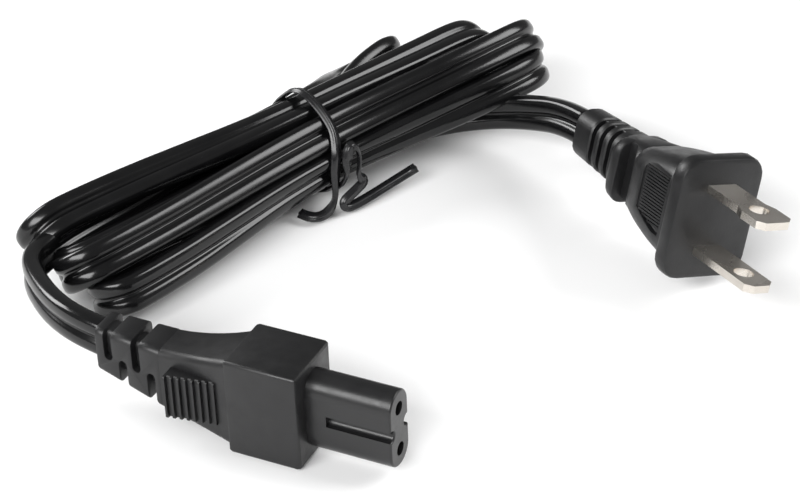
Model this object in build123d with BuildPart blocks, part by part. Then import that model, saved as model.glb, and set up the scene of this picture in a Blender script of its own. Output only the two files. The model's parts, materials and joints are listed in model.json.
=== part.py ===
"""Two-wire mains power cord: a polarised two-blade plug, a flat twin cord folded into a
hank under a twist tie, and a figure-8 connector standing on its narrow side.

Frame: +X is the way the connector's nose points, +Z is up and +Y runs through the
connector's thickness. The origin is on the surface the cord lies on, under the middle
of the connector. All sizes are in millimetres.
"""

from build123d import *
from math import cos, radians, sin, tan
import os

# Flat twin cord
cord_width = 7.4
cord_thickness = 3.7
cord_web = 3.3
core_radius = 0.65
insulation_radius = 1.5
piece_gap = 0.3

# Connector nose: two lobes joined by a web, with a groove down each side
pin_spacing = 8.6
lobe_radius = 3.43
nose_length = 16.3
groove_start = 3.9
groove_radius = 1.1
groove_depth = 1.5
bore_radius = 1.3
mouth_length = 1.8
nose_round = 0.4

# Connector block, neck and strain relief
block_length = 14.2
block_thickness = 13.2
block_height = 19.5
block_round = 0.6
neck_length = 14.3
neck_step = 0.5
neck_round = 0.8
neck_inset = 1.0
neck_waist = 0.35
relief_length = 13.0
relief_height = 9.3
relief_thickness = 7.6
relief_round = 0.9
relief_core_round = 1.4
relief_slots = 4
relief_tilt = 8.7
relief_rise = 0.85
slot_width = 1.7
slot_pitch = 2.65
first_slot = 2.2
slot_wall = 0.5
slot_overlap = 0.6

# Grip pads on the connector's flat faces
pad_length = 11.2
pad_height = 9.8
pad_start = 1.6
pad_thick_end = 7.7
pad_thin_end = 5.9
pad_ribs = 8
rib_depth = 0.6
rib_share = 0.5

# Inside the connector
insert_tail = 9.0
collar_length = 2.4
collar_grow = 1.2
sleeve_length = 12.0
sleeve_wall = 0.55
sleeve_slit = 0.6
shank_width = 3.0
crimp_length = 5.0
crimp_wall = 0.5
stripped_length = 4.0

# Plug blades, to the common polarised two-pin pattern
blade_spacing = 12.7
blade_thickness = 1.5
blade_width = 6.35
wide_blade_width = 7.94
blade_length = 17.5
blade_hole_radius = 1.98
blade_hole_place = 11.7
flare_start = 9.4
flare_end = 11.6
tip_chamfer = 1.4
tail_length = 13.0
tail_width = 4.2
crimp_place = 8.0
crimp_sink = 0.23

# Plug moulding, measured back from its face
flange_height = 24.6
flange_width = 18.2
flange_thickness = 3.7
flange_corner = 4.6
flange_round = 0.8
body_front_height = 19.8
body_front_width = 16.6
body_corner_share = 0.3
shoulder_place = 12.0
shoulder_height = 17.4
shoulder_width = 15.8
ridge_place = 18.0
ridge_height = 14.0
ridge_width = 13.4
recess_place = 21.4
recess_height = 10.8
recess_width = 9.2
recess_corner = 3.7
lip_place = 24.8
lip_length = 3.4
lip_height = 13.6
lip_width = 11.4
lip_round = 0.7
plug_length = 43.5
plug_relief_height = 10.2
plug_relief_width = 7.8
plug_relief_corner = 3.2
plug_relief_front_height = 11.7
plug_relief_front_width = 9.4
plug_relief_front_corner = 3.6
plug_slot_width = 1.4
plug_slot_pitch = 3.0
plug_slots = 3
plug_first_slot = 2.25
plug_slot_wall = 0.6
spine_width = 2.6

# Grip panels on the plug's flat sides
panel_front = 5.2
panel_back = 13.6
panel_height = 12.4
panel_corner = 2.4
panel_depth = 0.55
panel_lean = 3.0
panel_ribs = 16
panel_rib_height = 0.35

# Inside the plug
bridge_place = 3.2
bridge_length = 4.0
bridge_height = 18.6
bridge_width = 10.4

# Where the plug lies, and how it is turned about its own length
plug_face = (58.85, 75.4, 15.3)
plug_heading = -35.7
plug_rise = 3.1
plug_roll = 15.0

# Where the tie goes round the bundle, along the hank from its middle
tie_place = -5.0
tied_radius = 9.7
hank_height = 10.6

# Hank: middle of the tied bundle and its heading, then its outline along its length as
# distance from the tie, sideways shift, height of the middle, and half width and height
hank_middle = (-27.5, 82.4)
hank_heading = 70.0
hank_sections = [
    (-73.0, 1.0, 9.4, 5.0, 5.0),
    (-67.0, 1.5, 10.8, 10.6, 10.2),
    (-48.0, 1.2, 11.2, 12.6, 11.0),
    (-18.0, 0.3, 10.8, 10.6, 10.4),
    (tie_place, 0.0, hank_height, tied_radius, tied_radius),
    (18.0, 0.6, 10.8, 11.0, 10.4),
    (38.0, 2.2, 11.4, 14.2, 11.2),
    (50.0, 3.4, 11.0, 14.0, 10.6),
    (56.0, 4.0, 10.0, 7.0, 6.0),
]

# Routes of the two leads, from each strain relief into the hank
exit_run = 8.0
connector_route = [
    (-45.6, 2.6, 13.6),
    (-53.4, 8.8, 12.4),
    (-58.4, 17.6, 11.0),
    (-60.0, 27.8, 10.0),
    (-58.2, 37.8, 9.6),
]
plug_route = [
    (5.6, 108.6, 10.4),
    (-4.0, 108.2, 9.0),
    (-12.4, 103.8, 7.8),
    (-18.2, 96.2, 6.8),
]

# Twist tie round the hank, twisted on the near side, with its two ends left long
tie_width = 3.0
tie_thickness = 0.6
tie_gap = 0.25
knot_radius = 2.2
knot_length = 8.5
knot_rise = 2.0
tail_routes = [
    [(-6.0, 11.6, 4.4), (-7.6, 12.4, 2.0), (-11.0, 11.0, 1.2), (-14.0, 7.6, 1.0)],
    [(-4.0, 12.2, 4.4), (-4.6, 13.0, 1.8), (2.0, 14.4, 1.2), (12.0, 14.6, 2.6)],
]


def twin_outline(width, thickness, web):
    """The flat twin section: two round lobes with a shallow groove between them."""
    lobe = thickness / 2
    Rectangle(width - 2 * lobe, web)
    with Locations((lobe - width / 2, 0), (width / 2 - lobe, 0)):
        Circle(lobe)


def bend_radii(points):
    """The radius at each corner: 0.45 of the shorter run, over the tangent of half the turn."""
    radii = []
    for before, corner, after in zip(points, points[1:], points[2:]):
        run_in = corner - before
        run_out = after - corner
        turn = radians(run_in.get_angle(run_out))
        radii.append(0.45 * min(run_in.length, run_out.length) / tan(turn / 2))
    return radii


# The connector's length runs from its nose tip to the tilted back of the strain relief,
# and its middle is over the origin
relief_run = relief_length * cos(radians(relief_tilt))
relief_lean = relief_height / 2 * sin(radians(relief_tilt))
behind_block = neck_length + relief_run + relief_lean
block_front = (block_length + behind_block - nose_length) / 2
block_back = block_front - block_length
neck_back = block_back - neck_length
axis_height = block_height / 2
nose_plane = Plane((block_front, 0, axis_height), x_dir=(0, 1, 0), z_dir=(1, 0, 0))
side_plane = Plane((block_back, 0, axis_height), x_dir=(-1, 0, 0), z_dir=(0, 1, 0))
top_plane = Plane((block_back, 0, 0), x_dir=(-1, 0, 0), z_dir=(0, 0, 1))
relief_plane = Plane(
    (neck_back, 0, axis_height + relief_rise),
    x_dir=(0, 1, 0),
    z_dir=(-cos(radians(relief_tilt)), 0, sin(radians(relief_tilt))),
)
relief_end = relief_plane.offset(relief_length)
core_height = cord_width + 2 * slot_wall
core_thickness = cord_thickness + 2 * slot_wall

# Contacts: a slit sleeve in each lobe, then a flat shank and a crimp barrel behind the insert
sleeve_radius = bore_radius + sleeve_wall
sleeve_front = nose_length - mouth_length
sleeve_back = sleeve_front - sleeve_length
crimp_radius = core_radius + crimp_wall
crimp_front = -insert_tail - piece_gap
crimp_back = crimp_front - crimp_length
contacts = {}
for name, side in (("line", -1), ("neutral", 1)):
    lobe_centre = nose_plane.from_local_coords((0, side * pin_spacing / 2, 0))
    lobe_plane = Plane(lobe_centre, x_dir=(0, 1, 0), z_dir=(1, 0, 0))
    with BuildPart() as contact:
        with BuildSketch(lobe_plane.offset(sleeve_back)):
            Circle(sleeve_radius)
            Circle(bore_radius, mode=Mode.SUBTRACT)
            with Locations((sleeve_radius, 0)):
                Rectangle(sleeve_radius, sleeve_slit, mode=Mode.SUBTRACT)
        extrude(amount=sleeve_length)
        with BuildSketch(lobe_plane.offset(sleeve_back)):
            Circle(sleeve_radius)
        extrude(amount=-2 * sleeve_wall)
        with BuildSketch(lobe_plane.offset(sleeve_back)):
            Rectangle(2 * sleeve_wall, shank_width)
        extrude(amount=crimp_front - sleeve_back)
        with BuildSketch(lobe_plane.offset(crimp_front)):
            Circle(crimp_radius)
        extrude(amount=-crimp_length)
        with BuildSketch(lobe_plane.offset(crimp_back)):
            Circle(core_radius)
        extrude(amount=stripped_length, mode=Mode.SUBTRACT)
    contact.part.label = f"contact_{name}"
    contacts[name] = contact.part

# Copper strands, bared at the cord's end and held in each crimp barrel
connector_wires = {}
for name, side in (("line", -1), ("neutral", 1)):
    lobe_centre = nose_plane.from_local_coords((0, side * pin_spacing / 2, 0))
    with BuildPart() as wire:
        with BuildSketch(Plane(lobe_centre, x_dir=(0, 1, 0), z_dir=(1, 0, 0)).offset(crimp_back)):
            Circle(core_radius)
        extrude(amount=stripped_length)
        with BuildSketch(Plane(lobe_centre, x_dir=(0, 1, 0), z_dir=(1, 0, 0)).offset(crimp_back)):
            Circle(core_radius)
        extrude(amount=-piece_gap)
    wire.part.label = f"connector_wire_{name}"
    connector_wires[name] = wire.part

# The cord's end inside the connector: the flat twin as far as the neck, then two legs
leg_front = nose_plane.offset(crimp_back - piece_gap)
with BuildPart() as cord_end_connector:
    with BuildSketch(Plane(relief_end.origin, x_dir=relief_end.y_dir, z_dir=relief_end.z_dir)):
        twin_outline(cord_width, cord_thickness, cord_web)
    extrude(amount=-relief_length)
    for side in (-1, 1):
        with BuildSketch(relief_plane):
            with Locations((0, -side * (cord_width - cord_thickness) / 2)):
                Circle(insulation_radius)
        with BuildSketch(leg_front):
            with Locations((0, side * pin_spacing / 2)):
                Circle(insulation_radius)
        loft()
cord_end_connector.part.label = "cord_end_connector"

# Hard insert: the figure-8 nose, plain at its root, and a collar that keys it in the block
with BuildPart() as connector_insert:
    with BuildSketch(nose_plane.offset(-insert_tail)):
        SlotCenterToCenter(pin_spacing, 2 * lobe_radius, rotation=90)
    extrude(amount=insert_tail + nose_length)
    with BuildSketch(nose_plane.offset(groove_start)):
        for side in (-1, 1):
            with Locations((side * (lobe_radius - groove_depth + groove_radius), 0)):
                Circle(groove_radius)
            with Locations((side * (lobe_radius + groove_radius), 0)):
                Rectangle(2 * groove_depth, 2 * groove_radius)
    extrude(amount=nose_length - groove_start, mode=Mode.SUBTRACT)
    tip_edges = connector_insert.faces().sort_by(Axis.X)[-1].edges()
    fillet(tip_edges, nose_round)
    with BuildSketch(nose_plane.offset(-insert_tail)):
        SlotCenterToCenter(pin_spacing, 2 * (lobe_radius + collar_grow), rotation=90)
    extrude(amount=collar_length)
    with BuildSketch(nose_plane.offset(nose_length)):
        with Locations((0, -pin_spacing / 2), (0, pin_spacing / 2)):
            Circle(bore_radius)
    extrude(amount=-mouth_length, mode=Mode.SUBTRACT)
    with BuildSketch(nose_plane.offset(sleeve_front)):
        with Locations((0, -pin_spacing / 2), (0, pin_spacing / 2)):
            Circle(sleeve_radius)
    extrude(amount=-(sleeve_front + insert_tail), mode=Mode.SUBTRACT)
connector_insert.part.label = "connector_insert"

# Soft overmould: block, waisted neck, grip pads and the slotted strain relief
relief_half = relief_height / 2
block_half = axis_height - neck_step
neck_top = relief_rise + relief_half
neck_bottom = relief_rise - relief_half
neck_face = block_thickness / 2 - neck_step
with BuildPart() as connector_block:
    with BuildSketch(nose_plane):
        Rectangle(block_thickness, block_height)
    extrude(amount=-block_length)
    fillet(connector_block.edges(), block_round)

with BuildPart() as connector_neck:
    with BuildSketch(side_plane):
        with BuildLine():
            Line((-neck_inset, -block_half), (-neck_inset, block_half))
            ThreePointArc(
                (-neck_inset, block_half),
                (neck_length / 2, (block_half + neck_top) / 2 - neck_waist),
                (neck_length, neck_top),
            )
            Line((neck_length, neck_top), (neck_length, neck_bottom))
            Line((neck_length, neck_bottom), (-neck_inset, -block_half))
        make_face()
    extrude(amount=neck_face, both=True)
    with BuildSketch(top_plane):
        with BuildLine():
            Line((-neck_inset, -neck_face), (-neck_inset, neck_face))
            ThreePointArc(
                (-neck_inset, neck_face),
                (neck_length / 2, (neck_face + relief_thickness / 2) / 2 - neck_waist),
                (neck_length, relief_thickness / 2),
            )
            Line((neck_length, relief_thickness / 2), (neck_length, -relief_thickness / 2))
            ThreePointArc(
                (neck_length, -relief_thickness / 2),
                (neck_length / 2, -(neck_face + relief_thickness / 2) / 2 + neck_waist),
                (-neck_inset, -neck_face),
            )
        make_face()
    extrude(amount=block_height + relief_rise, mode=Mode.INTERSECT)
    long_edges = connector_neck.edges().filter_by(lambda e: e.length > neck_length - neck_round)
    fillet(long_edges, neck_round)

with BuildPart() as connector_overmould:
    add(connector_block.part)
    add(connector_neck.part)
    with BuildSketch(relief_plane):
        RectangleRounded(relief_thickness, relief_height, relief_round)
    extrude(amount=relief_length)
    for index in range(relief_slots):
        upper = index % 2
        place = first_slot + index * slot_pitch
        flank = Plane(relief_plane.from_local_coords((0, 0, place)), x_dir=relief_plane.z_dir,
                      z_dir=(0, 1, 0))
        reach = relief_half + slot_overlap
        with BuildSketch(flank):
            with Locations((0, (1 if upper else -1) * (relief_half - reach / 2 + slot_width / 2))):
                SlotOverall(reach + slot_width, slot_width, rotation=90)
        extrude(amount=relief_thickness, both=True, mode=Mode.SUBTRACT)
    with BuildSketch(relief_plane):
        RectangleRounded(core_thickness, core_height, relief_core_round)
    extrude(amount=relief_length)
    for side in (-1, 1):
        with BuildSketch(Plane.XY.offset(axis_height - pad_height / 2)):
            pad_front = block_back - pad_start
            rib_pitch = pad_length / pad_ribs
            pad_root = side * relief_thickness / 4
            outline = [(pad_front, pad_root)]
            for rib in range(pad_ribs):
                near = pad_front - rib * rib_pitch
                share = rib / (pad_ribs - 1)
                crest = pad_thin_end + (pad_thick_end - pad_thin_end) * share
                outline.append((near, side * (crest - rib_depth)))
                outline.append((near - rib_pitch * (1 - rib_share), side * (crest - rib_depth)))
                outline.append((near - rib_pitch * (1 - rib_share), side * crest))
                outline.append((near - rib_pitch, side * crest))
            outline.append((pad_front - pad_length, pad_root))
            with BuildLine():
                Polyline(*outline, close=True)
            make_face()
        extrude(amount=pad_height)
    add(connector_insert.part, mode=Mode.SUBTRACT)
    add(cord_end_connector.part, mode=Mode.SUBTRACT)
    for name in ("line", "neutral"):
        add(contacts[name], mode=Mode.SUBTRACT)
        add(connector_wires[name], mode=Mode.SUBTRACT)
connector_overmould.part.label = "connector_overmould"

# The plug's own frame: X from the wide blade down to the narrow one, Z out of the face
plug_out = Vector(1, 0, 0).rotate(Axis.Y, -plug_rise).rotate(Axis.Z, plug_heading)
plug_down = Vector(0, 0, -1).rotate(Axis.Y, -plug_rise).rotate(Axis.Z, plug_heading)
plug_down = plug_down.rotate(Axis((0, 0, 0), plug_out), -plug_roll)
plug_plane = Plane(plug_face, x_dir=plug_down, z_dir=plug_out)
plug_end = plug_plane.offset(-plug_length)
plug_axis = Axis((0, 0, 0), plug_out)

# Blades: a flat strip with a hole, a narrow tail inside the plug and a crimp barrel
tail_side = blade_spacing / 2 - blade_thickness / 2 - crimp_radius + crimp_sink
plug_crimp_back = crimp_place + crimp_length
blades = {}
plug_wires = {}
for name, side, tip_width in (("neutral", -1, wide_blade_width), ("line", 1, blade_width)):
    blade_plane = Plane(
        plug_plane.from_local_coords((side * blade_spacing / 2, 0, 0)),
        x_dir=plug_plane.z_dir,
        z_dir=plug_plane.x_dir,
    )
    barrel_centre = plug_plane.from_local_coords((side * tail_side, 0, 0))
    barrel_plane = Plane(barrel_centre, x_dir=plug_plane.x_dir, z_dir=plug_plane.z_dir)
    with BuildPart() as blade:
        with BuildSketch(blade_plane):
            with BuildLine():
                Polyline(
                    (-tail_length, 0),
                    (-tail_length, tail_width / 2),
                    (-bridge_place - bridge_length, tail_width / 2),
                    (-bridge_place, blade_width / 2),
                    (flare_start, blade_width / 2),
                    (flare_end, tip_width / 2),
                    (blade_length - tip_chamfer, tip_width / 2),
                    (blade_length, tip_width / 2 - tip_chamfer),
                    (blade_length, 0),
                )
                mirror(about=Plane.XZ)
            make_face()
            with Locations((blade_hole_place, 0)):
                Circle(blade_hole_radius, mode=Mode.SUBTRACT)
        extrude(amount=blade_thickness / 2, both=True)
        with BuildSketch(barrel_plane.offset(-crimp_place)):
            Circle(crimp_radius)
        extrude(amount=-crimp_length)
        with BuildSketch(barrel_plane.offset(-plug_crimp_back)):
            Circle(core_radius)
        extrude(amount=stripped_length, mode=Mode.SUBTRACT)
    blade.part.label = f"blade_{name}"
    blades[name] = blade.part
    with BuildPart() as wire:
        with BuildSketch(barrel_plane.offset(-plug_crimp_back - piece_gap)):
            Circle(core_radius)
        extrude(amount=stripped_length + piece_gap)
    wire.part.label = f"plug_wire_{name}"
    plug_wires[name] = wire.part

# Hard bridge that holds both blades square to the face
with BuildPart() as plug_bridge:
    with BuildSketch(plug_plane.offset(-bridge_place)):
        RectangleRounded(bridge_height, bridge_width, bridge_width / 4)
    extrude(amount=-bridge_length)
    for name in ("neutral", "line"):
        add(blades[name], mode=Mode.SUBTRACT)
plug_bridge.part.label = "plug_bridge"

# The cord's end inside the plug: two legs that join as the flat twin in the strain relief
twin_start = lip_place + lip_length / 2
with BuildPart() as cord_end_plug:
    with BuildSketch(plug_end):
        twin_outline(cord_width, cord_thickness, cord_web)
    extrude(amount=plug_length - twin_start)
    for side in (-1, 1):
        with BuildSketch(plug_plane.offset(-twin_start)):
            with Locations((side * (cord_width - cord_thickness) / 2, 0)):
                Circle(insulation_radius)
        with BuildSketch(plug_plane.offset(-plug_crimp_back - piece_gap)):
            with Locations((side * tail_side, 0)):
                Circle(insulation_radius)
        loft()
cord_end_plug.part.label = "cord_end_plug"

# Plug moulding: face flange, body that narrows to a ridge, finger recess, lip, strain relief
with BuildPart() as plug_flange:
    with BuildSketch(plug_plane.offset(-flange_thickness)):
        RectangleRounded(flange_height, flange_width, flange_corner)
    extrude(amount=flange_thickness)
    flange_edges = plug_flange.faces().group_by(plug_axis)[-1].edges()
    flange_edges += plug_flange.faces().group_by(plug_axis)[0].edges()
    fillet(flange_edges, flange_round)

with BuildPart() as plug_body:
    for place, height, width in (
        (flange_thickness - flange_round, body_front_height, body_front_width),
        (shoulder_place, shoulder_height, shoulder_width),
        (ridge_place, ridge_height, ridge_width),
    ):
        with BuildSketch(plug_plane.offset(-place)):
            RectangleRounded(height, width, width * body_corner_share)
    loft()
    fillet(plug_body.faces().sort_by(plug_axis)[0].edges(), lip_round)

with BuildPart() as plug_lip:
    with BuildSketch(plug_plane.offset(-lip_place)):
        RectangleRounded(lip_height, lip_width, lip_width * body_corner_share)
    extrude(amount=-lip_length)
    fillet(plug_lip.faces().group_by(plug_axis)[-1].edges(), lip_round)

with BuildPart() as plug_relief:
    with BuildSketch(plug_end):
        RectangleRounded(plug_relief_height, plug_relief_width, plug_relief_corner)
    with BuildSketch(plug_plane.offset(-lip_place - lip_length)):
        RectangleRounded(
            plug_relief_front_height, plug_relief_front_width, plug_relief_front_corner
        )
    loft()
    fillet(plug_relief.faces().sort_by(plug_axis)[0].edges(), lip_round)
    for index in range(plug_slots):
        place = lip_place + lip_length + plug_first_slot + index * plug_slot_pitch
        with BuildSketch(plug_plane.offset(-place)):
            Rectangle(flange_height, flange_height)
            with Locations((-flange_height / 4, 0)):
                Rectangle(flange_height / 2, spine_width, mode=Mode.SUBTRACT)
            SlotOverall(
                cord_width + 2 * plug_slot_wall,
                cord_thickness + 2 * plug_slot_wall,
                mode=Mode.SUBTRACT,
            )
        extrude(amount=-plug_slot_width, mode=Mode.SUBTRACT)

with BuildPart() as plug_overmould:
    add(plug_flange.part)
    add(plug_body.part)
    with BuildSketch(plug_plane.offset(-ridge_place + lip_round)):
        RectangleRounded(recess_height, recess_width, recess_corner)
    extrude(amount=ridge_place - lip_place - 2 * lip_round)
    add(plug_lip.part)
    add(plug_relief.part)
    panel_length = panel_back - panel_front
    panel_middle = (panel_front + panel_back) / 2
    for side in (-1, 1):
        lean = radians(panel_lean)
        panel_normal = plug_plane.y_dir * (side * cos(lean)) - plug_out * sin(lean)
        panel_plane = Plane(
            plug_plane.from_local_coords((0, side * shoulder_width / 2, -panel_middle)),
            x_dir=plug_plane.x_dir,
            z_dir=panel_normal,
        )
        with BuildSketch(panel_plane.offset(-panel_depth)):
            RectangleRounded(panel_height, panel_length, panel_corner)
        extrude(amount=flange_width / 2, mode=Mode.SUBTRACT)
        rib_pitch = panel_height / (panel_ribs + 1)
        with BuildSketch(panel_plane.offset(-2 * panel_depth)):
            with GridLocations(rib_pitch, 0, panel_ribs, 1):
                Rectangle(rib_pitch / 2, panel_length - panel_corner)
        extrude(amount=panel_depth + panel_rib_height)
    for name in ("neutral", "line"):
        add(blades[name], mode=Mode.SUBTRACT)
        add(plug_wires[name], mode=Mode.SUBTRACT)
    add(plug_bridge.part, mode=Mode.SUBTRACT)
    add(cord_end_plug.part, mode=Mode.SUBTRACT)
plug_overmould.part.label = "plug_overmould"

# The two leads, with the flat section on edge all the way
leads = {}
lead_ends = (
    ("cord_lead_connector", relief_end, relief_end.z_dir, connector_route),
    ("cord_lead_plug", plug_end, plug_out * -1, plug_route),
)
for name, start, out, route in lead_ends:
    points = [start.origin, start.origin + out * exit_run] + [Vector(*p) for p in route]
    radii = bend_radii(points)
    print(name, "radii", [round(r, 1) for r in radii])
    with BuildPart() as lead:
        with BuildLine() as path:
            FilletPolyline(*points, radius=radii)
        heading = points[1] - points[0]
        level = heading.cross(Vector(0, 0, 1))
        upright = level.cross(heading)
        with BuildSketch(Plane(points[0], x_dir=upright, z_dir=heading)):
            twin_outline(cord_width, cord_thickness, cord_web)
        sweep()
    lead.part.label = name
    leads[name] = lead.part
    route_length = path.wires()[0].length
    section = lead.part.volume / route_length
    print(name, "length", round(route_length, 1), "section", round(section, 2))

# Outer shape of the hank that the folded cord fills
along = Vector(cos(radians(hank_heading)), sin(radians(hank_heading)), 0)
across = Vector(along.Y, -along.X, 0)
with BuildPart() as cord_hank:
    for place, shift, height, half_width, half_height in hank_sections:
        centre = Vector(*hank_middle, height) + along * place + across * shift
        with BuildSketch(Plane(centre, x_dir=across, z_dir=along)):
            Ellipse(half_width, half_height)
    loft()
cord_hank.part.label = "cord_hank"

# Twist tie: a band round the hank, the twisted knot and two loose ends
tie_radius = tied_radius + tie_gap
tie_centre = Vector(*hank_middle, hank_height) + along * tie_place
tie_plane = Plane(tie_centre, x_dir=across, z_dir=along)
with BuildPart() as twist_tie:
    with BuildSketch(tie_plane.offset(-tie_width / 2)):
        Circle(tie_radius + tie_thickness)
        Circle(tie_radius, mode=Mode.SUBTRACT)
    extrude(amount=tie_width)
    knot_top = tie_centre + across * (tie_radius + knot_radius) + Vector(0, 0, knot_rise)
    with BuildSketch(Plane(knot_top, x_dir=across, z_dir=(0, 0, -1))):
        Circle(knot_radius)
    extrude(amount=knot_length)
    for route in tail_routes:
        corners = []
        for place, shift, height in route:
            base = Vector(hank_middle[0], hank_middle[1], height)
            corners.append(base + along * place + across * shift)
        with BuildLine():
            FilletPolyline(*corners, radius=bend_radii(corners))
        run = corners[1] - corners[0]
        with BuildSketch(Plane(corners[0], x_dir=run.cross(across), z_dir=run)):
            Rectangle(tie_width, tie_thickness)
        sweep()
twist_tie.part.label = "twist_tie"

os.makedirs("parts", exist_ok=True)
pieces = [connector_overmould.part, connector_insert.part, cord_end_connector.part]
pieces += list(contacts.values()) + list(connector_wires.values())
pieces += [plug_overmould.part, plug_bridge.part, cord_end_plug.part]
pieces += list(blades.values()) + list(plug_wires.values())
pieces += list(leads.values()) + [cord_hank.part, twist_tie.part]
for piece in pieces:
    export_step(piece, f"parts/{piece.label}.step")
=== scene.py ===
"""Looks of a mains power cord: plug, flat twin cord in a tied hank, and figure-8 connector.

The frame is in metres: +X is the way the connector's nose points and +Z is up. Sizes below
are in millimetres, as in the part's source, and mm turns them into metres.
"""

import json
from math import atan2, cos, degrees, pi, radians, sin, tan

import bmesh
import bpy
import numpy as np
from mathutils import Matrix, Vector


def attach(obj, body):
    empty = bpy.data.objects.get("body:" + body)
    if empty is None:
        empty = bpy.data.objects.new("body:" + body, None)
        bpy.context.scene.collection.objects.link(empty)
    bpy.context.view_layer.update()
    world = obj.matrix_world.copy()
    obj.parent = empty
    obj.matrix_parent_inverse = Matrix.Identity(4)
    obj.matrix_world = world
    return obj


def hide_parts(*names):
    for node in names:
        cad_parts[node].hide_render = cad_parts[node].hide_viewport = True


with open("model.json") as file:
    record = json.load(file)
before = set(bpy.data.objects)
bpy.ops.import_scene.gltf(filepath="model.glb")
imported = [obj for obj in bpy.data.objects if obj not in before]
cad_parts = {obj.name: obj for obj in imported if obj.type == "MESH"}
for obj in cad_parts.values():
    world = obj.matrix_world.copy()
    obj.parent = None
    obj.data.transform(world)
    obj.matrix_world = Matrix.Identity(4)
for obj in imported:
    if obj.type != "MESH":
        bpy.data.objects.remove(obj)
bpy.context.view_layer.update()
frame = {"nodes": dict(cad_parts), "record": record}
mm = 0.001

# Flat twin cord
cord_width = 7.4
cord_thickness = 3.7
groove_half = 0.26
groove_depth = 1.0
lobe_squareness = 2.8

# Routes of the two leads, from each strain relief into the hank
connector_exit = (-28.47, 0.0, 12.57)
plug_exit = (23.58, 100.75, 12.95)
connector_route = [
    (-33.9, 0.0, 13.35),
    (-42.2, 3.6, 12.9),
    (-50.3, 9.9, 11.9),
    (-56.2, 16.4, 11.1),
    (-56.6, 23.8, 10.7),
    (-55.6, 31.4, 10.5),
]
plug_route = [
    (17.1, 105.4, 12.5),
    (5.6, 108.6, 9.6),
    (-4.0, 108.2, 7.6),
    (-12.2, 103.7, 6.6),
    (-18.2, 96.2, 6.2),
]

# The way the cord's flat face looks where it enters the plug
plug_lead_normal = (-0.575, -0.776, 0.259)

# Hank: its middle and heading, and the tied section, where strands stand on a ring
hank_middle = (-27.5, 82.4)
hank_heading = 70.0
tie_place = -5.0
hank_height = 10.9
ring_radius = 8.0
core_radius = 1.85

# Strands in the order the cord runs through them: radius and angle in the tied section
strands = [
    (ring_radius, 141),
    (core_radius, 220),
    (ring_radius, 244),
    (ring_radius, 90),
    (ring_radius, 193),
    (ring_radius, 39),
    (core_radius, 40),
    (ring_radius, 347),
    (ring_radius, 296),
]

# Folds between the strands: the side of the tie, the tip as distance along the hank, shift
# towards the viewer and height, the angle the near branch faces, the half distance between
# the branches, the depth of the bend, and 1 where the near branch is the one that follows
folds = [
    (1, (33.0, -13.5, 11.0), 45, 5.5, 6.5, 1),
    (-1, (-64.0, -4.0, 7.5), 30, 5.0, 6.0, -1),
    (1, (46.9, 0.0, 12.2), 80, 7.0, 9.0, 1),
    (-1, (-66.5, -11.0, 11.0), 60, 5.5, 7.0, -1),
    (1, (51.7, 8.0, 14.5), 48, 8.0, 9.0, 1),
    (-1, (-68.1, 2.6, 10.5), 35, 5.0, 6.5, -1),
    (1, (49.3, 12.0, 11.8), 25, 7.0, 9.0, 1),
    (-1, (-64.6, 7.8, 5.6), 20, 4.6, 5.0, -1),
]
fold_steps = 6

# Where a route has points between a fold and the tied section, as shares of the way
strand_shares = (0.25, 0.5, 0.75)

# Twist tie: its ring as angle and radius in the tied section, and both ends as place along
# the hank, shift and height, then the way the strip looks as (along, across, up)
tie_width = 2.1
tie_lowest = 0.35
tie_ring = [
    (34, 10.6), (52, 10.7), (70, 11.1), (88, 11.9), (104, 11.9), (122, 10.8), (145, 10.8),
    (170, 10.8), (195, 10.8), (220, 10.7), (243, 10.7), (262, 10.5), (281, 10.5), (303, 10.6),
    (325, 10.7),
]
tie_left_end = [
    ((-14.3, 7.4, 1.5), (-0.6, 0.5, 0.7)),
    ((-14.2, 10.2, 1.4), (-0.5, 0.4, 0.8)),
    ((-11.6, 12.0, 1.5), (0.1, 0.7, 0.7)),
    ((-8.4, 11.6, 3.0), (0.5, 0.8, 0.3)),
    ((-7.3, 10.9, 6.2), (0.2, 1.0, 0.1)),
    ((-7.3, 10.9, 9.6), (-0.3, 1.0, 0.0)),
    ((-6.7, 11.0, 13.2), (-0.4, 1.0, 0.3)),
]
tie_right_end = [
    ((-5.6, 10.8, 5.4), (0.5, 1.0, -0.2)),
    ((-4.6, 11.8, 8.4), (0.7, 0.8, 0.0)),
    ((-5.2, 12.2, 12.4), (-0.6, 0.8, 0.3)),
    ((-4.0, 12.2, 15.0), (-0.3, 0.6, 0.8)),
    ((-2.0, 12.2, 13.6), (0.8, 0.5, 0.4)),
    ((-1.6, 12.2, 9.8), (0.9, 0.4, 0.0)),
    ((-2.6, 12.4, 6.8), (0.5, 0.9, 0.1)),
    ((-0.4, 12.6, 5.4), (0.0, 0.9, 0.5)),
    ((-4.4, 12.9, 4.2), (-0.1, 0.9, 0.4)),
    ((-7.0, 12.6, 3.0), (-0.5, 0.8, 0.4)),
    ((-6.6, 12.9, 1.3), (-0.2, 0.6, 0.8)),
    ((-2.5, 13.6, 1.7), (0.0, 0.5, 0.9)),
    ((4.0, 14.0, 2.6), (0.0, 0.4, 0.9)),
    ((11.8, 14.4, 3.5), (0.0, 0.6, 0.8)),
]

# Connector moulding: its block, measured along X, and the height of its axis
axis_height = 9.75
block_front = 12.875
block_length = 14.2
block_height = 19.5
block_thickness = 13.2
block_round = 0.7
block_back = block_front - block_length

# Its waisted neck: top, bottom and half width at three places behind the block
neck_length = 14.3
neck_places = (-1, neck_length / 2, neck_length)
neck_tops = (9.2, 7.1, 6.3)
neck_bottoms = (-9.2, -7.8, -6.25)
neck_halves = (6.1, 4.76, 4.2)
neck_round = 1.4
neck_sink = 0.8
neck_seam = 0.05
neck_rings = 14
neck_back = block_back - neck_length

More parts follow.
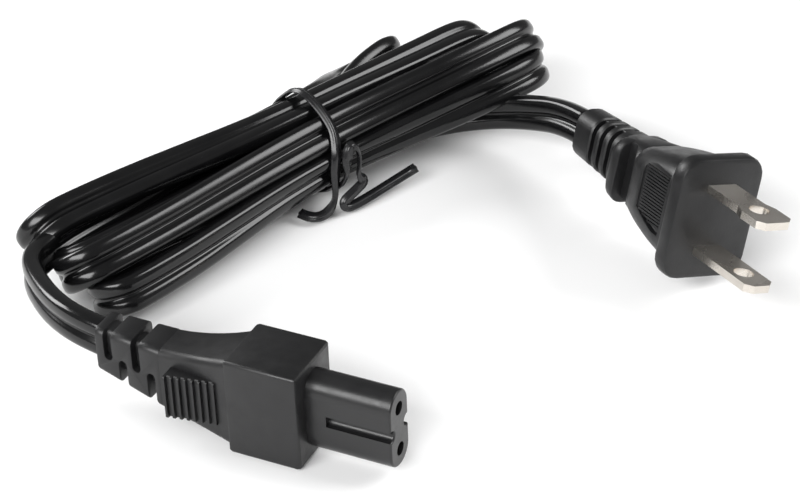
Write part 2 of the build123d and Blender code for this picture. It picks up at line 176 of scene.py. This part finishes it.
# Its strain relief: both ends as middle height, height and width, and the core inside it
relief_length = 13.55
relief_front = (9.8, 12.6, 8.4)
relief_back = (12.25, 9.1, 7.0)
relief_round = 1.3
relief_edge = 0.25
relief_tilt = 8.7
exit_height = 12.45
core_size = (8.1, 4.4, 1.4)
core_places = (-0.5, relief_length - 0.4)

# The slots in it, by turns from below and from above
slot_count = 4
slot_width = 1.6
slot_pitch = 2.95
first_slot = 2.1
slot_reach = 9.75
slot_overlap = 0.5
slot_drop = 0.7
slot_half_depth = 9.0
slot_steps = 8

# The ribbed grip pads on its neck
pad_start = 1.6
pad_length = 10.3
pad_height = 8.9
pad_drop = 0.75
pad_root = 2.1
pad_thin_end = 5.9
pad_thick_end = 7.4
pad_edge = 0.2
pad_ribs = 8
rib_depth = 0.6
rib_share = 0.45
rib_slope = 0.12
rib_gap = 0.05

# Plug moulding: the middle of its face, and its ways back and down
plug_face = Vector((58.85, 75.4, 15.3))
plug_back = Vector((-0.8109, 0.5827, -0.0541))
plug_down = Vector((-0.1086, -0.2407, -0.9645))
plug_side = plug_down.cross(plug_back)

# Its rings as place behind the face, height, width, corner and, where given, shift down
flange_rings = [
    (0, 23.4, 17.8, 3.7),
    (0.22, 24.15, 18.55, 4.0),
    (0.75, 24.6, 19.0, 4.2),
    (2.75, 24.6, 19.0, 4.2),
    (3.3, 24.15, 18.55, 4.0),
    (3.5, 23.4, 17.8, 3.7),
]
lip_rings = [
    (24.3, 12.4, 12.0, 2.6, 0.6),
    (24.4, 12.9, 12.5, 2.8, 0.6),
    (24.75, 13.2, 12.8, 3.0, 0.6),
    (26.7, 13.0, 12.4, 3.2, 0.6),
    (27.4, 12.5, 11.7, 3.4, 0.6),
    (27.6, 11.6, 10.8, 3.0, 0.6),
]
collar_ends = [(27.5, 11.7, 9.4, 3.6), (43.5, 10.2, 7.8, 3.2)]
plug_core_rings = [(28.0, 8.9, 5.2, 2.3), (43.0, 8.7, 5.0, 2.2)]
spine_rings = [(28.5, 5.5, 2.6, 0.4, -2.85), (42.0, 5.0, 2.6, 0.4, -2.3)]

# Its body, sized at three places, and the corner of a ring as a share of its width
body_places = (2.7, 12.0, 19.0)
body_heights = (20.6, 17.6, 14.0)
body_widths = (17.0, 16.3, 13.0)
body_edge = 0.2
body_rings = 10
corner_share = 0.27

# The slots between the collars of its strain relief
plug_slots = [(30.0, 31.4), (33.0, 34.4), (36.0, 37.4)]
collar_edge = 0.3

# The finger recess: its outline as (place, aside), and the levels that it runs between
recess_floor = 3.9
recess_outside = 13.0
recess_start = 18.9
recess_end = 27.0
recess_outline = [
    (recess_end, recess_floor),
    (recess_end, recess_outside),
    (recess_start, recess_outside),
    (recess_start, 6.6),
    (22.2, recess_floor),
]
recess_levels = (-6.0, 12.0)
recess_edge = 0.4

# The grip panels: their outline as (level, place), with a slanted corner, and their bars
panel_top = -7.1
panel_bottom = 5.3
panel_shoulder = 2.9
panel_front = 5.0
panel_back = 14.0
panel_slope = 2.9
panel_outline = [
    (panel_top, panel_front),
    (panel_top, panel_back),
    (panel_shoulder, panel_back),
    (panel_bottom, 7.0),
    (panel_bottom, panel_front),
]
panel_face = 8.25
panel_lean = 0.05
panel_depths = (0.75, -3.0)
panel_margin = 0.9
panel_pitch = 0.64
panel_bar = 0.36
bar_depths = (1.4, 0.32)

# Camera, fitted to the photograph
camera_azimuth = 26.86
camera_elevation = 32.84
camera_roll = -2.2
camera_distance = 454.7
camera_target = (4.7, 51.1, 10.0)
camera_lens = 107.4

# Floor: half its side in metres, and how far under the object it lies in millimetres
floor_reach = 4.0
floor_drop = 0.3

# Lamps: the point that they look at and how far from it they stand, in metres
lamp_target = (-0.005, 0.055, 0.01)
lamp_distance = 0.9

# The part of a noise texture's values that a number and a colour follow
number_range = (0.3, 0.7)
colour_range = (0.35, 0.7)

up = Vector((0, 0, 1))
along = Vector((cos(radians(hank_heading)), sin(radians(hank_heading)), 0))
across = Vector((along.y, -along.x, 0))


def add_camera():
    """The camera at the photograph's viewing angle."""
    azimuth, elevation, roll = map(radians, (camera_azimuth, camera_elevation, camera_roll))
    forward = Vector(
        (-sin(azimuth) * cos(elevation), cos(azimuth) * cos(elevation), -sin(elevation))
    )
    level = forward.cross(up).normalized()
    raised = level.cross(forward)
    right = level * cos(roll) + raised * sin(roll)
    top = raised * cos(roll) - level * sin(roll)
    data = bpy.data.cameras.new("camera")
    data.lens = camera_lens
    camera = bpy.data.objects.new("camera", data)
    camera.matrix_world = Matrix((right, top, -forward)).transposed().to_4x4()
    camera.location = (Vector(camera_target) - forward * camera_distance) * mm
    bpy.context.collection.objects.link(camera)
    bpy.context.scene.camera = camera


def hank_point(place, shift, height):
    """A point of the hank from its distance along it, its shift and its height."""
    return Vector((*hank_middle, 0)) + along * place + across * shift + up * height


def face_normal(angle):
    """The way a strand's flat face looks, as an angle from the viewer's side upward."""
    return across * cos(radians(angle)) + up * sin(radians(angle))


def ease(share):
    """A share from 0 to 1 that starts and ends gently."""
    return share * share * (3 - 2 * share)


class Route:
    """The cord's control points, each with the way its flat face looks."""

    def __init__(self):
        self.points = []
        self.normals = []

    def add(self, point, normal):
        """A point whose face looks along normal, or the other way if that twists less."""
        normal = normal.normalized()
        if self.normals and self.normals[-1].dot(normal) < 0:
            normal = -normal
        self.points.append(point)
        self.normals.append(normal)

    def add_lead(self, points, last_normal=None):
        """A lead with its flat section on edge."""
        for index, point in enumerate(points):
            before = points[max(index - 1, 0)]
            after = points[min(index + 1, len(points) - 1)]
            normal = (after - before).cross(up)
            if last_normal and index > len(points) - 3:
                normal = last_normal
            self.add(point, normal)

    def add_span(self, start, end, shares):
        """Part of a strand between two places, each (place, shift, height, face angle)."""
        turn = (end[3] - start[3] + 90) % 180 - 90
        for share in shares:
            eased = ease(share)
            place = start[0] + (end[0] - start[0]) * share
            shift = start[1] + (end[1] - start[1]) * eased
            height = start[2] + (end[2] - start[2]) * eased
            self.add(hank_point(place, shift, height), face_normal(start[3] + turn * eased))

    def add_fold(self, fold):
        """The half turn at one end of the hank."""
        side, tip, angle, half, depth, near = fold
        centre = hank_point(tip[0] - side * depth, tip[1], tip[2])
        spread = face_normal(angle) * near
        for step in range(fold_steps + 1):
            turn = pi * step / fold_steps - pi / 2
            point = centre + along * (side * depth * cos(turn)) + spread * (half * sin(turn))
            normal = along * (side * half * cos(turn)) + spread * (depth * sin(turn))
            self.add(point, normal)


def fold_branch(fold, following):
    """Where one branch of a fold starts, as (place, shift, height, face angle)."""
    side, tip, angle, half, depth, near = fold
    reach = half * near * (1 if following else -1)
    shift = tip[1] + reach * cos(radians(angle))
    height = tip[2] + reach * sin(radians(angle))
    return tip[0] - side * depth, shift, height, angle


def hank_place(point, normal):
    """A point and its face as (place, shift, height, face angle)."""
    offset = point - Vector((*hank_middle, 0))
    angle = degrees(atan2(normal.z, normal.dot(across)))
    return offset.dot(along), offset.dot(across), point.z, angle


def cord_route():
    """The whole cord: connector lead, the strands and folds of the hank, plug lead."""
    route = Route()
    route.add_lead([Vector(p) for p in [connector_exit] + connector_route])
    before = hank_place(route.points[-1], route.normals[-1])
    for index, (radius, angle) in enumerate(strands):
        shift = radius * cos(radians(angle))
        height = hank_height + radius * sin(radians(angle))
        tied = (tie_place, shift, height, angle)
        route.add_span(before, tied, strand_shares + (1,))
        if index < len(folds):
            fold = folds[index]
            route.add_span(tied, fold_branch(fold, False), strand_shares)
            route.add_fold(fold)
            before = fold_branch(fold, True)
    lead = [Vector(p) for p in plug_route[::-1] + [plug_exit]]
    entry = hank_place(lead[0], (lead[1] - lead[0]).cross(up).normalized())
    route.add_span(tied, entry, (0.5,))
    route.add_lead(lead, Vector(plug_lead_normal))
    return route


def spline_points(points):
    """Points along the smooth NURBS line that has these control points, in metres."""
    data = bpy.data.curves.new("line", "CURVE")
    data.dimensions = "3D"
    spline = data.splines.new("NURBS")
    spline.points.add(len(points) - 1)
    for slot, point in zip(spline.points, points):
        slot.co = (*(point * mm), 1)
    spline.order_u = 3
    spline.use_endpoint_u = True
    spline.resolution_u = 6
    holder = bpy.data.objects.new("line", data)
    bpy.context.collection.objects.link(holder)
    bpy.context.view_layer.update()
    mesh = bpy.data.meshes.new_from_object(holder)
    line = np.array([v.co for v in mesh.vertices])
    bpy.data.objects.remove(holder)
    bpy.data.meshes.remove(mesh)
    return line


def twin_section(steps=24):
    """The cord's outline as (across its width, through its thickness), in millimetres."""
    half_thick = cord_thickness / 2
    half_wide = (cord_width / 2 - groove_half) / 2
    middle = groove_half + half_wide
    lobe = []
    for step in range(steps + 1):
        turn = 2 * pi * (step / steps - 0.5)
        power = 2 / lobe_squareness
        x = middle + half_wide * abs(cos(turn)) ** power * (1 if cos(turn) > 0 else -1)
        y = half_thick * abs(sin(turn)) ** power * (1 if sin(turn) > 0 else -1)
        if abs(y) < half_thick - groove_depth and x < middle:
            continue
        lobe.append((x, y))
    lobe.append((0.0, half_thick - groove_depth))
    return lobe + [(-x, -y) for x, y in lobe]


def strip_section():
    """The tie's outline, in shares of its width: a flat strip with a wire along its middle."""
    side = [(0.5, 0.07), (0.24, 0.08), (0.17, 0.17), (0.09, 0.22), (0.0, 0.235)]
    top = side + [(-x, y) for x, y in side[-2::-1]]
    return [(x * tie_width, y * tie_width) for x, y in top + [(-x, -y) for x, y in top]]


def sweep_mesh(name, line, faces_line, section):
    """A tube with the section kept square to the line, its top looking at the second line."""
    tangent = np.gradient(line, axis=0)
    tangent /= np.linalg.norm(tangent, axis=1)[:, None]
    normal = faces_line - line
    normal -= (normal * tangent).sum(axis=1)[:, None] * tangent
    normal /= np.linalg.norm(normal, axis=1)[:, None]
    width = np.cross(tangent, normal)
    shape = np.array(section) * mm
    across_line = shape[None, :, :1] * width[:, None]
    through_line = shape[None, :, 1:] * normal[:, None]
    rings = line[:, None] + across_line + through_line
    count = len(section)
    faces = []
    for ring in range(len(line) - 1):
        for side in range(count):
            after = (side + 1) % count
            faces.append((
                ring * count + side, ring * count + after,
                (ring + 1) * count + after, (ring + 1) * count + side,
            ))
    faces.append(tuple(range(count))[::-1])
    faces.append(tuple(range((len(line) - 1) * count, len(line) * count)))
    mesh = bpy.data.meshes.new(name)
    mesh.from_pydata(rings.reshape(-1, 3).tolist(), [], faces)
    mesh.update()
    travelled = np.concatenate(([0], np.cumsum(np.linalg.norm(np.diff(line, axis=0), axis=1))))
    chart = mesh.uv_layers.new(name="chart")
    for polygon in mesh.polygons:
        for loop in polygon.loop_indices:
            vertex = mesh.loops[loop].vertex_index
            ring, side = divmod(vertex, count)
            round_share = side / count
            if side == 0 and any(v % count == count - 1 for v in polygon.vertices):
                round_share = 1.0
            chart.data[loop].uv = (travelled[ring], round_share)
    mesh.shade_smooth()
    piece = bpy.data.objects.new(name, mesh)
    bpy.context.collection.objects.link(piece)
    return piece


def add_cord():
    """The cord as one flat twin tube along its whole route."""
    route = cord_route()
    line = spline_points(route.points)
    faces_line = spline_points([p + n for p, n in zip(route.points, route.normals)])
    piece = sweep_mesh("cord", line, faces_line, twin_section())
    piece.data.materials.append(materials["jacket"])
    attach(piece, "root")
    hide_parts("cord_lead_connector", "cord_hank", "cord_lead_plug")
    return piece, line


def add_tie():
    """The twist tie: its ring round the hank, its knot with a loop, and both ends."""
    route = Route()
    for spot, look in tie_left_end:
        route.add(hank_point(*spot), along * look[0] + across * look[1] + up * look[2])
    for angle, radius in tie_ring:
        shift = radius * cos(radians(angle))
        height = max(hank_height + radius * sin(radians(angle)), tie_lowest)
        route.add(hank_point(tie_place, shift, height), face_normal(angle))
    for spot, look in tie_right_end:
        route.add(hank_point(*spot), along * look[0] + across * look[1] + up * look[2])
    line = spline_points(route.points)
    faces_line = spline_points([p + n for p, n in zip(route.points, route.normals)])
    piece = sweep_mesh("tie_strip", line, faces_line, strip_section())
    piece.data.materials.append(materials["tie"])
    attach(piece, "root")
    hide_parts("twist_tie")
    return piece


def rounded_ring(height, width, corner, steps=5):
    """Points round a rectangle with rounded corners, as (up, sideways) from its middle."""
    ring = []
    for quarter, (sign_up, sign_side) in enumerate(((1, 1), (-1, 1), (-1, -1), (1, -1))):
        for step in range(steps + 1):
            turn = radians(90 * (quarter + step / steps))
            ring.append((
                sign_up * (height / 2 - corner) + corner * cos(turn),
                sign_side * (width / 2 - corner) + corner * sin(turn),
            ))
    return ring


def solid_mesh(name, rings):
    """A closed solid through rings of points, each ring with as many points as the next."""
    count = len(rings[0])
    points = [tuple(point * mm) for ring in rings for point in ring]
    faces = [tuple(range(count))[::-1], tuple(range(len(points) - count, len(points)))]
    for ring in range(len(rings) - 1):
        for side in range(count):
            after = (side + 1) % count
            low, high = ring * count, (ring + 1) * count
            faces.append((low + side, low + after, high + after, high + side))
    mesh = bpy.data.meshes.new(name)
    mesh.from_pydata(points, [], faces)
    work = bmesh.new()
    work.from_mesh(mesh)
    bmesh.ops.recalc_face_normals(work, faces=work.faces)
    work.to_mesh(mesh)
    work.free()
    piece = bpy.data.objects.new(name, mesh)
    bpy.context.collection.objects.link(piece)
    return piece


def station(axis, up_way, side_way, centre, size):
    """A ring of a moulding: axis point, its two directions, its middle and its size."""
    height, width, corner = size
    return [
        axis + up_way * (centre + raised) + side_way * aside
        for raised, aside in rounded_ring(height, width, corner)
    ]


def applied(piece):
    """Bakes the piece's modifiers into its mesh."""
    bpy.context.view_layer.update()
    shape = bpy.context.evaluated_depsgraph_get()
    result = bpy.data.meshes.new_from_object(piece.evaluated_get(shape))
    piece.modifiers.clear()
    piece.data = result
    return piece


def combine(piece, others, operation):
    """Joins the other solids to the piece, or takes them away from it."""
    for other in others:
        modifier = piece.modifiers.new("combine", "BOOLEAN")
        modifier.operation = operation
        modifier.solver = "EXACT"
        modifier.object = other
    applied(piece)
    for other in others:
        bpy.data.objects.remove(other)
    return piece


def cut(piece, cutters):
    """Takes the cutters away from the piece."""
    return combine(piece, cutters, "DIFFERENCE")


def soften(piece, width, angle=30):
    """Rounds the piece's sharp edges a little."""
    modifier = piece.modifiers.new("soft edges", "BEVEL")
    modifier.width = width * mm
    modifier.segments = 2
    modifier.limit_method = "ANGLE"
    modifier.angle_limit = radians(angle)
    return applied(piece)


def merged(name, parts):
    """One closed object from several solids that overlap."""
    piece = combine(parts[0], parts[1:], "UNION")
    piece.name = piece.data.name = name
    piece.data.shade_smooth()
    piece.data.set_sharp_from_angle(angle=radians(35))
    return piece


def connector_ring(x, middle, size):
    """A ring of the connector moulding, square to X."""
    return station(Vector((x, 0, 0)), up, Vector((0, 1, 0)), middle, size)


def connector_neck():
    """The waisted neck between the block and the strain relief."""
    curves = [
        np.polyfit(neck_places, sizes, 2) for sizes in (neck_tops, neck_bottoms, neck_halves)
    ]
    rings = []
    for place in np.linspace(-neck_sink, neck_length + neck_seam, neck_rings):
        high, low, half = (float(np.polyval(curve, place)) for curve in curves)
        middle = axis_height + (high + low) / 2
        size = (high - low, 2 * half, neck_round)
        rings.append(connector_ring(block_back - float(place), middle, size))
    return solid_mesh("neck", rings)


def relief_level(place):
    """The height of the cord's middle at a place in the connector's strain relief."""
    return exit_height - (relief_length - place) * tan(radians(relief_tilt))


def slot_cutter(middle):
    """A slot with round ends that passes through the strain relief from side to side."""
    outline = []
    for end in (1, -1):
        for step in range(slot_steps + 1):
            turn = pi * step / slot_steps
            rise = end * ((slot_reach - slot_width) / 2 + slot_width / 2 * sin(turn))
            outline.append(middle + Vector((-end * slot_width / 2 * cos(turn), 0, rise)))
    return solid_mesh("slot", [
        [point + Vector((0, aside, 0)) for point in outline]
        for aside in (-slot_half_depth, slot_half_depth)
    ])


def connector_relief():
    """The strain relief with its slots, and the core that carries it."""
    relief = solid_mesh("relief", [
        connector_ring(neck_back - place, middle, (height, width, relief_round))
        for place, (middle, height, width) in ((0, relief_front), (relief_length, relief_back))
    ])
    slots = []
    for index in range(slot_count):
        place = first_slot + index * slot_pitch
        way = 1 if index % 2 else -1
        level = relief_level(place) - slot_drop + way * (slot_reach / 2 - slot_overlap)
        slots.append(slot_cutter(Vector((neck_back - place, 0, level))))
    cut(relief, slots)
    soften(relief, relief_edge)
    core = solid_mesh("core", [
        connector_ring(neck_back - place, relief_level(place), core_size) for place in core_places
    ])
    return relief, core


def connector_pad(way):
    """The ribbed grip pad on one side of the neck, thicker towards the cord."""
    pitch = pad_length / pad_ribs
    outline = [(0, pad_root)]
    for rib in range(pad_ribs):
        near = rib * pitch
        crest = pad_thin_end + (pad_thick_end - pad_thin_end) * rib / (pad_ribs - 1)
        outline.append((near, crest - rib_depth))
        outline.append((near + pitch * (1 - rib_share), crest - rib_depth))
        outline.append((near + pitch * (1 - rib_share) + rib_slope, crest))
        outline.append((near + pitch - rib_gap, crest))
    outline.append((pad_length, pad_root))
    low = axis_height - pad_drop - pad_height / 2
    levels = (
        (low, pad_edge),
        (low + pad_edge, 0),
        (low + pad_height - pad_edge, 0),
        (low + pad_height, pad_edge),
    )
    start = block_back - pad_start
    return solid_mesh("pad", [
        [Vector((start - place, way * (aside - trim), height)) for place, aside in outline]
        for height, trim in levels
    ])


def add_connector_moulding():
    """The connector's soft moulding: block, waisted neck, slotted relief and grip pads."""
    block_size = (block_height, block_thickness, block_round)
    block = solid_mesh("block", [
        connector_ring(x, axis_height, block_size) for x in (block_front, block_back)
    ])
    soften(block, block_round)
    neck = connector_neck()
    relief, core = connector_relief()
    pads = [connector_pad(way) for way in (-1, 1)]
    return merged("connector_moulding", [block, neck, relief, core] + pads)


def plug_ring(place, height, width, corner, shift=0.0):
    """A ring of the plug moulding at a place behind its face."""
    middle = plug_face + plug_back * place
    return station(middle, plug_down, plug_side, shift, (height, width, corner))


def plug_solid(name, rings):
    """A solid of the plug moulding through rings given as plug_ring takes them."""
    return solid_mesh(name, [plug_ring(*ring) for ring in rings])


def plug_body():
    """The body behind the flange, which narrows towards the cord."""
    curves = [np.polyfit(body_places, sizes, 2) for sizes in (body_heights, body_widths)]
    rings = []
    for place in np.linspace(body_places[0], body_places[-1], body_rings):
        height, width = (float(np.polyval(curve, place)) for curve in curves)
        rings.append((float(place), height, width, width * corner_share))
    return plug_solid("body", rings)


def panel_solid(name, outline, way, depths):
    """A solid in one grip panel, from its outline as (level, place) and two depths."""
    lean = (plug_side * way + plug_back * panel_lean).normalized()
    face = [
        plug_face + plug_back * place + plug_down * level + plug_side * (way * panel_face)
        for level, place in outline
    ]
    return solid_mesh(name, [[corner - lean * depth for corner in face] for depth in depths])


def panel_bars(way):
    """The bars across one grip panel, shorter where its corner slants."""
    bars = []
    near = panel_front + panel_margin
    level = panel_top + panel_margin
    while level < panel_bottom - panel_margin:
        slant = max(0.0, level - panel_shoulder) * panel_slope
        far = panel_back - panel_margin - slant
        low = level + panel_bar
        outline = [(level, near), (level, far), (low, far), (low, near)]
        bars.append(panel_solid("bar", outline, way, bar_depths))
        level += panel_pitch
    return bars


def plug_waist():
    """The stretch between body and lip, with a finger recess on each side."""
    width = body_widths[-1]
    start = (body_places[-1], body_heights[-1], width, width * corner_share)
    waist = plug_solid("waist", [start, collar_ends[0]])
    recesses = []
    for way in (-1, 1):
        corners = [
            plug_face + plug_back * place + plug_side * (way * aside)
            for place, aside in recess_outline
        ]
        recesses.append(solid_mesh("recess", [
            [corner + plug_down * level for corner in corners] for level in recess_levels
        ]))
    cut(waist, recesses)
    return soften(waist, recess_edge)


def plug_collar(start, end):
    """One collar of the plug's strain relief, with its edges taken off."""
    first, last = collar_ends
    rings = []
    for place, trim in (
        (start, collar_edge), (start + collar_edge, 0), (end - collar_edge, 0), (end, collar_edge),
    ):
        share = (place - first[0]) / (last[0] - first[0])
        height, width, corner = (
            low + (high - low) * share - 2 * trim for low, high in zip(first[1:], last[1:])
        )
        rings.append((place, height, width, corner + trim))
    return plug_solid("collar", rings)


def add_plug_moulding():
    """The plug's soft moulding: flange, body with grip panels, recess, lip and slotted relief."""
    flange = plug_solid("flange", flange_rings)
    body = plug_body()
    cut(body, [panel_solid("panel", panel_outline, way, panel_depths) for way in (-1, 1)])
    soften(body, body_edge)
    bars = panel_bars(-1) + panel_bars(1)
    waist = plug_waist()
    lip = plug_solid("lip", lip_rings)
    gaps = [place for slot in plug_slots for place in slot]
    edges = [collar_ends[0][0]] + gaps + [collar_ends[1][0]]
    collars = [plug_collar(start, end) for start, end in zip(edges[::2], edges[1::2])]
    core = plug_solid("core", plug_core_rings)
    spine = plug_solid("spine", spine_rings)
    return merged("plug_moulding", [flange, body, waist, lip, core, spine] + collars + bars)


def principled(name, colour, roughness, metallic=0.0, specular=0.5):
    """A new material and its shader."""
    material = bpy.data.materials.new(name)
    material.use_nodes = True
    shader = material.node_tree.nodes["Principled BSDF"]
    shader.inputs["Base Color"].default_value = (*colour, 1)
    shader.inputs["Roughness"].default_value = roughness
    shader.inputs["Metallic"].default_value = metallic
    shader.inputs["Specular IOR Level"].default_value = specular
    return material, shader


def add_noise(material, scale, detail=3.0, stretch=(1, 1, 1), coordinates="Object"):
    """A noise texture on the material, with its own scale along each axis."""
    nodes, links = material.node_tree.nodes, material.node_tree.links
    place = nodes.new("ShaderNodeTexCoord")
    mapping = nodes.new("ShaderNodeMapping")
    mapping.inputs["Scale"].default_value = stretch
    noise = nodes.new("ShaderNodeTexNoise")
    noise.inputs["Scale"].default_value = scale
    noise.inputs["Detail"].default_value = detail
    links.new(place.outputs[coordinates], mapping.inputs["Vector"])
    links.new(mapping.outputs["Vector"], noise.inputs["Vector"])
    return noise.outputs["Fac"]


def vary(material, socket, source, low, high):
    """Drives a number socket between two values from a texture."""
    nodes, links = material.node_tree.nodes, material.node_tree.links
    spread = nodes.new("ShaderNodeMapRange")
    spread.inputs["From Min"].default_value = number_range[0]
    spread.inputs["From Max"].default_value = number_range[1]
    spread.inputs["To Min"].default_value = low
    spread.inputs["To Max"].default_value = high
    links.new(source, spread.inputs["Value"])
    links.new(spread.outputs["Result"], socket)


def tint(material, shader, source, dark, light):
    """Varies the base colour between two colours from a texture."""
    nodes, links = material.node_tree.nodes, material.node_tree.links
    ramp = nodes.new("ShaderNodeValToRGB")
    ramp.color_ramp.elements[0].position = colour_range[0]
    ramp.color_ramp.elements[0].color = (*dark, 1)
    ramp.color_ramp.elements[1].position = colour_range[1]
    ramp.color_ramp.elements[1].color = (*light, 1)
    links.new(source, ramp.inputs["Fac"])
    links.new(ramp.outputs["Color"], shader.inputs["Base Color"])


def bump(material, shader, source, depth, strength=1.0):
    """Raises the surface by a texture, to the given depth in millimetres."""
    nodes, links = material.node_tree.nodes, material.node_tree.links
    relief = nodes.new("ShaderNodeBump")
    relief.inputs["Strength"].default_value = strength
    relief.inputs["Distance"].default_value = depth * mm
    links.new(source, relief.inputs["Height"])
    if shader.inputs["Normal"].is_linked:
        links.new(shader.inputs["Normal"].links[0].from_socket, relief.inputs["Normal"])
    links.new(relief.outputs["Normal"], shader.inputs["Normal"])


def jacket_material():
    """Glossy extruded PVC, with faint lines along its length and slight waves."""
    material, shader = principled("jacket", (0.004, 0.004, 0.0044), 0.2, specular=0.45)
    dark, light = (0.003, 0.003, 0.0033), (0.005, 0.005, 0.0053)
    vary(material, shader.inputs["Roughness"], add_noise(material, 55), 0.13, 0.24)
    tint(material, shader, add_noise(material, 180), dark, light)
    lines = add_noise(material, 60, 2, (2, 1, 1), "UV")
    bump(material, shader, lines, 0.02, 0.4)
    bump(material, shader, add_noise(material, 320, 2), 0.02, 0.3)
    return material


def moulding_material():
    """Satin soft PVC with a fine even grain."""
    material, shader = principled("moulding", (0.006, 0.006, 0.0065), 0.4)
    dark, light = (0.0045, 0.0045, 0.005), (0.008, 0.008, 0.0085)
    vary(material, shader.inputs["Roughness"], add_noise(material, 400), 0.36, 0.48)
    tint(material, shader, add_noise(material, 120), dark, light)
    bump(material, shader, add_noise(material, 2600, 4), 0.05, 0.35)
    bump(material, shader, add_noise(material, 260, 2), 0.06, 0.25)
    return material


def insert_material():
    """Hard moulded plastic, a little smoother than the soft moulding."""
    material, shader = principled("insert", (0.008, 0.008, 0.0085), 0.32)
    vary(material, shader.inputs["Roughness"], add_noise(material, 500), 0.28, 0.38)
    bump(material, shader, add_noise(material, 2200, 4), 0.04, 0.3)
    return material


def blade_material():
    """Nickel-plated brass with fine rolling marks and dull patches."""
    material, shader = principled("plated_blade", (0.72, 0.68, 0.62), 0.28, metallic=1.0)
    dark, light = (0.68, 0.63, 0.57), (0.75, 0.71, 0.65)
    tint(material, shader, add_noise(material, 160, 5), dark, light)
    vary(material, shader.inputs["Roughness"], add_noise(material, 120, 2), 0.22, 0.32)
    bump(material, shader, add_noise(material, 900, 4, (0.2, 0.35, 1)), 0.03, 0.3)
    return material


def metal_material(name, dark, light):
    """Bare metal inside the mouldings."""
    material, shader = principled(name, light, 0.35, metallic=1.0)
    tint(material, shader, add_noise(material, 300, 4), dark, light)
    bump(material, shader, add_noise(material, 1200, 3), 0.02, 0.3)
    return material


def tie_material():
    """Thin glossy plastic over a wire."""
    material, shader = principled("tie", (0.01, 0.01, 0.011), 0.25)
    vary(material, shader.inputs["Roughness"], add_noise(material, 300), 0.18, 0.34)
    bump(material, shader, add_noise(material, 900, 2), 0.04, 0.4)
    return material


def floor_material():
    """A plain pale floor."""
    return principled("floor", (0.93, 0.93, 0.93), 0.9, specular=0.0)[0]


def add_floor():
    """A wide pale floor under the object."""
    mesh = bpy.data.meshes.new("floor")
    ways = ((-1, -1), (1, -1), (1, 1), (-1, 1))
    corners = [(x * floor_reach, y * floor_reach, 0) for x, y in ways]
    mesh.from_pydata(corners, [], [(0, 1, 2, 3)])
    floor = bpy.data.objects.new("floor", mesh)
    floor.location.z = -floor_drop * mm
    mesh.materials.append(floor_material())
    bpy.context.collection.objects.link(floor)


def add_lamp(name, place, target, size, power):
    """A soft rectangular lamp that looks at a target."""
    data = bpy.data.lights.new(name, "AREA")
    data.shape = "RECTANGLE"
    data.size, data.size_y = size
    data.energy = power
    lamp = bpy.data.objects.new(name, data)
    lamp.location = place
    lamp.rotation_euler = (Vector(target) - Vector(place)).to_track_quat("-Z", "Y").to_euler()
    bpy.context.collection.objects.link(lamp)


def add_lights():
    """Soft studio light: large lamps at the right, front and left, and a dim surround."""
    scene = bpy.context.scene
    scene.view_settings.view_transform = "Standard"
    world = bpy.data.worlds.new("world")
    scene.world = world
    world.use_nodes = True
    background = world.node_tree.nodes["Background"]
    background.inputs["Color"].default_value = (0.9, 0.9, 0.9, 1)
    background.inputs["Strength"].default_value = 0.24
    for name, way, size, power in (
        ("right", (0.72, 0.42, 0.58), (0.45, 0.45), 5.0),
        ("front", (-0.05, -0.84, 0.55), (0.8, 0.4), 10.0),
        ("left", (-0.85, 0.1, 0.52), (0.4, 0.4), 5.0),
    ):
        place = Vector(lamp_target) + Vector(way) * lamp_distance
        add_lamp(name, place, lamp_target, size, power)


def dress_nodes():
    """Gives every CAD node the finish of its material slot."""
    for row in frame["record"]["subparts"]:
        node = frame["nodes"][row["node"]]
        node.data.materials.clear()
        node.data.materials.append(materials[row["material_slot"]])


materials = {
    "jacket": jacket_material(),
    "moulding": moulding_material(),
    "insert": insert_material(),
    "plated_blade": blade_material(),
    "brass": metal_material("brass", (0.55, 0.4, 0.16), (0.78, 0.6, 0.3)),
    "copper": metal_material("copper", (0.62, 0.3, 0.16), (0.8, 0.45, 0.28)),
    "tie": tie_material(),
}

add_camera()
cord, cord_line = add_cord()
tie = add_tie()
connector_moulding = add_connector_moulding()
plug_moulding = add_plug_moulding()
for piece, node in (
    (connector_moulding, "connector_overmould"),
    (plug_moulding, "plug_overmould"),
):
    piece.data.materials.append(materials["moulding"])
    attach(piece, "root")
    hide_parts(node)
dress_nodes()
add_floor()
add_lights()
